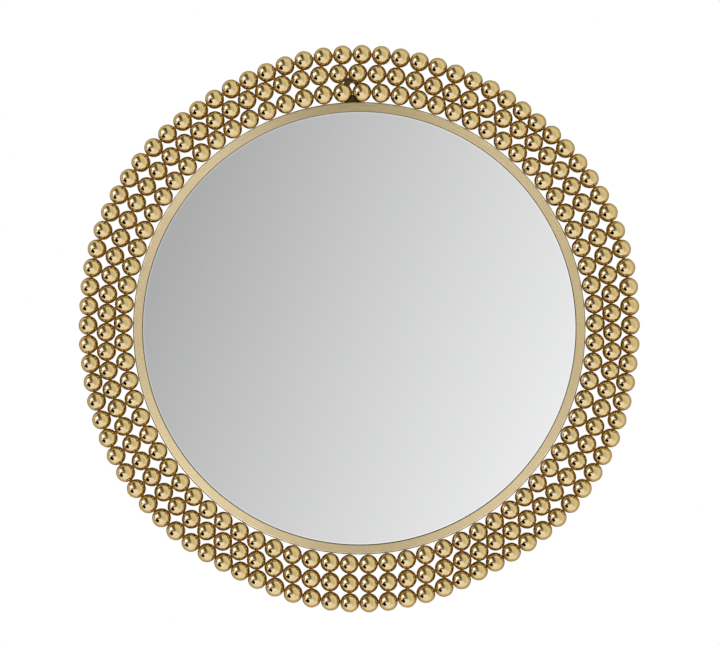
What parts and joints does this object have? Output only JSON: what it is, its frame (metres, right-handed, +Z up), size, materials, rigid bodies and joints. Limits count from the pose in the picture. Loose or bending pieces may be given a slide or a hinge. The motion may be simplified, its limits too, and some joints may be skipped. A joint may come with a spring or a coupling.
{
  "type": "round wall mirror",
  "caption": "Flat round wall mirror in a brushed brass rim, circled by nested rows of polished brass balls, with a keyhole hanger at the top of the back.",
  "frame": {"origin": "where the axis of the wall screw meets the wall, with the screw seated at the top of the keyhole slot", "axes": "+Y into the wall, +Z up, +X to the right of a person who faces the mirror; the glass faces -Y"},
  "size_m": [0.7558, 0.031, 0.7641],
  "materials": {
    "polished_brass": "mirror polished, pale gold",
    "brushed_brass": "fine circular brushing, satin",
    "dark_brass": "plated but not polished, dull",
    "silvered_glass": "float glass, silvered on the back",
    "painted_board": "fibreboard, thin black paint",
    "foam_tape": "closed-cell foam",
    "zinc_screw": "zinc plated"
  },
  "bodies": {
    "root": {"frame_ring": "brushed_brass", "glass_tape": "foam_tape", "mirror_glass": "silvered_glass", "back_board": "painted_board", "keyhole_hanger": "dark_brass", "board_tab_1": "brushed_brass", "board_tab_2": "brushed_brass", "board_tab_3": "brushed_brass", "board_tab_4": "brushed_brass", "board_tab_5": "brushed_brass", "board_tab_6": "brushed_brass", "board_tab_7": "brushed_brass", "board_tab_8": "brushed_brass", "tab_screw_1": "zinc_screw", "tab_screw_2": "zinc_screw", "tab_screw_3": "zinc_screw", "tab_screw_4": "zinc_screw", "tab_screw_5": "zinc_screw", "tab_screw_6": "zinc_screw", "tab_screw_7": "zinc_screw", "tab_screw_8": "zinc_screw", "inner_balls_1": "polished_brass", "inner_balls_2": "polished_brass", "inner_balls_3": "polished_brass", "inner_balls_4": "polished_brass", "inner_balls_5": "polished_brass", "inner_balls_6": "polished_brass", "middle_balls_1": "polished_brass", "middle_balls_2": "polished_brass", "middle_balls_3": "polished_brass", "middle_balls_4": "polished_brass", "middle_balls_5": "polished_brass", "middle_balls_6": "polished_brass", "outer_balls_1": "polished_brass", "outer_balls_2": "polished_brass", "outer_balls_3": "polished_brass", "outer_balls_4": "polished_brass", "outer_balls_5": "polished_brass", "outer_balls_6": "polished_brass"}
  },
  "joints": []
}
